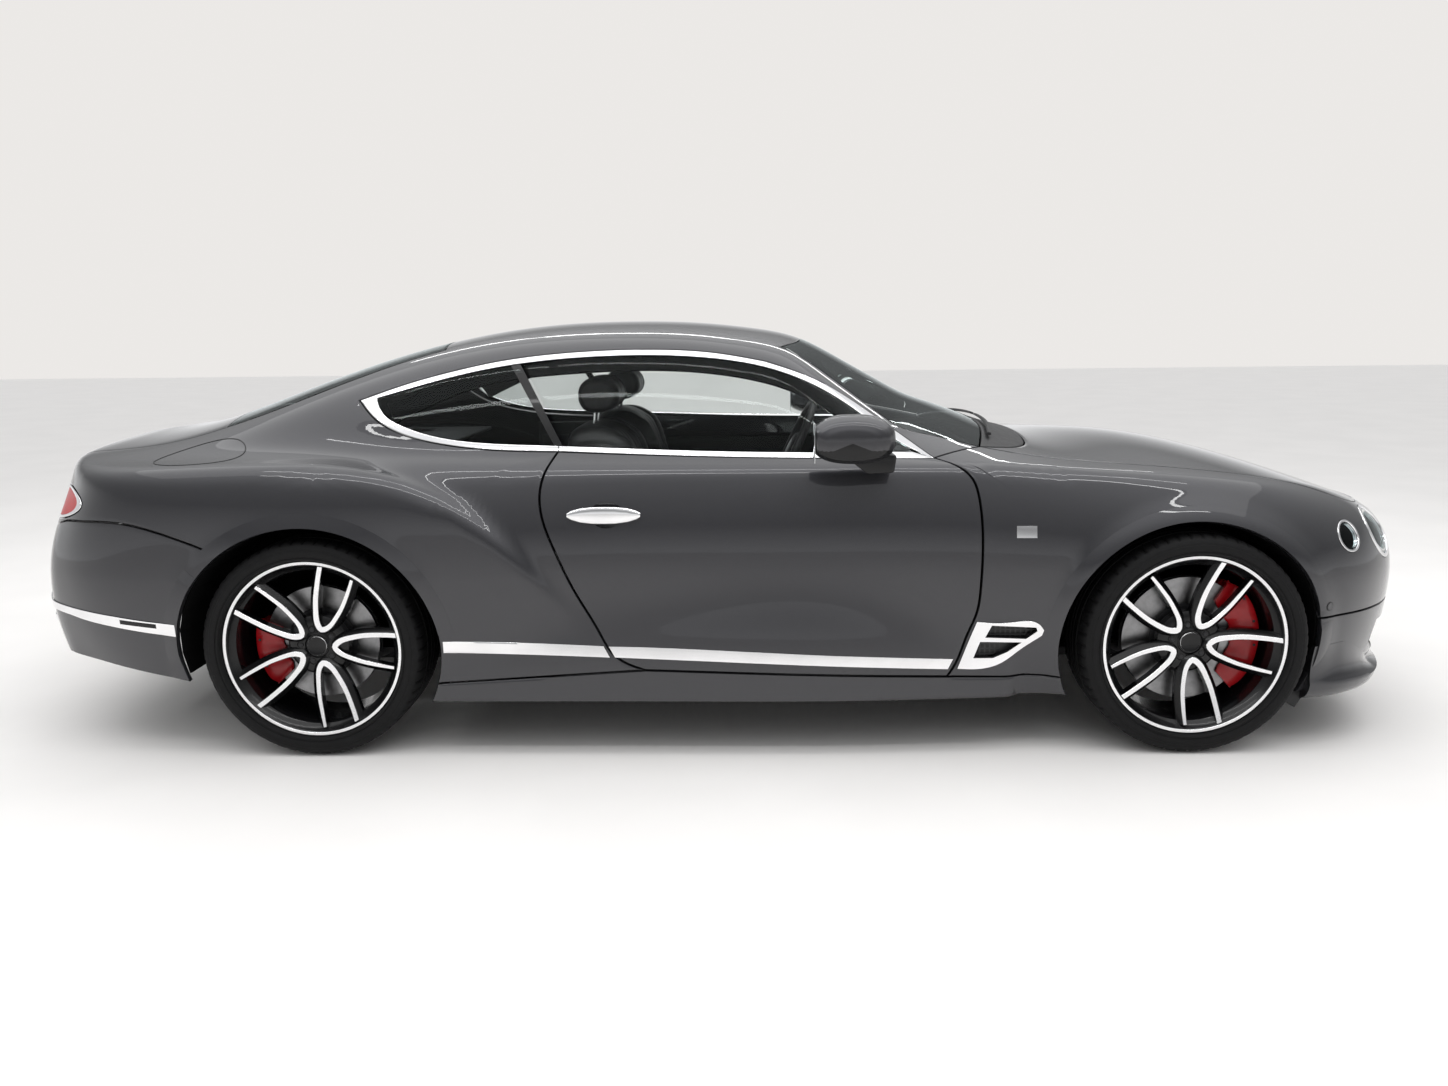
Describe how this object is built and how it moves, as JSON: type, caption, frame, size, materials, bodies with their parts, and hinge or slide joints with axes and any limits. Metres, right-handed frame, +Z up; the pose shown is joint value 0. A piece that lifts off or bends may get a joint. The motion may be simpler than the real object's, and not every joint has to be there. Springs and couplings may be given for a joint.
{
  "type": "coupe car",
  "caption": "Two-door fastback coupe in dark grey with bright trim, five-spoke wheels, opening doors, bonnet and boot lid, and steering front wheels.",
  "frame": {"origin": "centre of the bounding box, on the ground the tyres stand on", "axes": "+X towards the front of the car, +Y towards its left side, +Z up"},
  "size_m": [4.8599, 2.186, 1.405],
  "materials": {
    "body_paint": "gloss",
    "bright_trim": "polished",
    "glass_tint": "clear",
    "tyre": "matte",
    "wheel_black": "gloss",
    "disc_steel": "satin",
    "caliper_red": "gloss",
    "seat_leather": "satin",
    "cabin_black": "matte",
    "black_plastic": "matte",
    "engine_alloy": "matte",
    "lamp_clear": "clear",
    "lamp_red": "gloss"
  },
  "bodies": {
    "body": {"air_intakes": "black_plastic", "body_shell": "body_paint", "body_trims": "bright_trim", "bulkhead": "black_plastic", "cabin_trims": "cabin_black", "centre_console": "cabin_black", "cowl_panel": "black_plastic", "dashboard": "cabin_black", "engine": "engine_alloy", "floor_pan": "black_plastic", "front_bumper": "body_paint", "front_seats": "seat_leather", "front_wing_left": "body_paint", "front_wing_right": "body_paint", "grille": "black_plastic", "grille_frame": "bright_trim", "headlamps": "lamp_clear", "hub_carrier_rear_left": "caliper_red", "hub_carrier_rear_right": "caliper_red", "mud_deflectors": "black_plastic", "parcel_shelf": "cabin_black", "quarter_glasses": "glass_tint", "rear_bumper": "body_paint", "rear_seats": "seat_leather", "rear_window": "glass_tint", "sills": "body_paint", "suspension_arms": "engine_alloy", "tail_lamps": "lamp_red", "wheelhouses_front": "black_plastic", "wheelhouses_rear": "black_plastic", "window_trims": "bright_trim", "windscreen": "glass_tint", "wipers": "black_plastic"},
    "bonnet": {"bonnet": "body_paint"},
    "boot_lid": {"boot_lid": "body_paint"},
    "door_right": {"door_glass_right": "glass_tint", "door_mirror_right": "body_paint", "door_right": "body_paint", "door_trims_right": "bright_trim"},
    "door_left": {"door_glass_left": "glass_tint", "door_left": "body_paint", "door_mirror_left": "body_paint", "door_trims_left": "bright_trim"},
    "steer_right": {"hub_carrier_front_right": "caliper_red"},
    "steer_left": {"hub_carrier_front_left": "caliper_red"},
    "steering_wheel": {"steering_wheel": "cabin_black"},
    "wheel_front_right": {"brake_disc_front_right": "disc_steel", "rim_front_right": "wheel_black", "tyre_front_right": "tyre"},
    "wheel_front_left": {"brake_disc_front_left": "disc_steel", "rim_front_left": "wheel_black", "tyre_front_left": "tyre"},
    "wheel_rear_right": {"brake_disc_rear_right": "disc_steel", "rim_rear_right": "wheel_black", "tyre_rear_right": "tyre"},
    "wheel_rear_left": {"brake_disc_rear_left": "disc_steel", "rim_rear_left": "wheel_black", "tyre_rear_left": "tyre"}
  },
  "joints": [
    {"name": "door_right_hinge", "type": "hinge", "parent": "body", "child": "door_right", "pos_m": [0.8, -0.95, 0.6], "axis": [0, 0, 1], "range_deg": [0, 62]},
    {"name": "door_left_hinge", "type": "hinge", "parent": "body", "child": "door_left", "pos_m": [0.8, 0.95, 0.6], "axis": [0, 0, -1], "range_deg": [0, 62]},
    {"name": "bonnet_hinge", "type": "hinge", "parent": "body", "child": "bonnet", "pos_m": [0.88, 0, 0.99], "axis": [0, -1, 0], "range_deg": [0, 50]},
    {"name": "boot_hinge", "type": "hinge", "parent": "body", "child": "boot_lid", "pos_m": [-1.66, 0, 1.15], "axis": [0, 1, 0], "range_deg": [0, 72]},
    {"name": "steer_right_turn", "type": "hinge", "parent": "body", "child": "steer_right", "pos_m": [1.526, -0.82, 0.362], "axis": [0, 0, 1], "range_deg": [-33, 33]},
    {"name": "steer_left_turn", "type": "hinge", "parent": "body", "child": "steer_left", "pos_m": [1.526, 0.82, 0.362], "axis": [0, 0, 1], "range_deg": [-33, 33]},
    {"name": "steering_wheel_turn", "type": "hinge", "parent": "body", "child": "steering_wheel", "pos_m": [0.258, -0.37, 0.942], "axis": [-0.9063, 0, 0.4226], "range_deg": [-463, 463]},
    {"name": "wheel_front_right_spin", "type": "hinge", "parent": "steer_right", "child": "wheel_front_right", "pos_m": [1.526, -0.836, 0.362], "axis": [0, 1, 0], "continuous": true},
    {"name": "wheel_front_left_spin", "type": "hinge", "parent": "steer_left", "child": "wheel_front_left", "pos_m": [1.526, 0.836, 0.362], "axis": [0, 1, 0], "continuous": true},
    {"name": "wheel_rear_right_spin", "type": "hinge", "parent": "body", "child": "wheel_rear_right", "pos_m": [-1.325, -0.832, 0.362], "axis": [0, 1, 0], "continuous": true},
    {"name": "wheel_rear_left_spin", "type": "hinge", "parent": "body", "child": "wheel_rear_left", "pos_m": [-1.325, 0.832, 0.362], "axis": [0, 1, 0], "continuous": true}
  ],
  "couplings": [
    {"joint": "steer_left_turn", "follows": "steer_right_turn", "ratio": 1},
    {"joint": "steering_wheel_turn", "follows": "steer_right_turn", "ratio": 14}
  ]
}
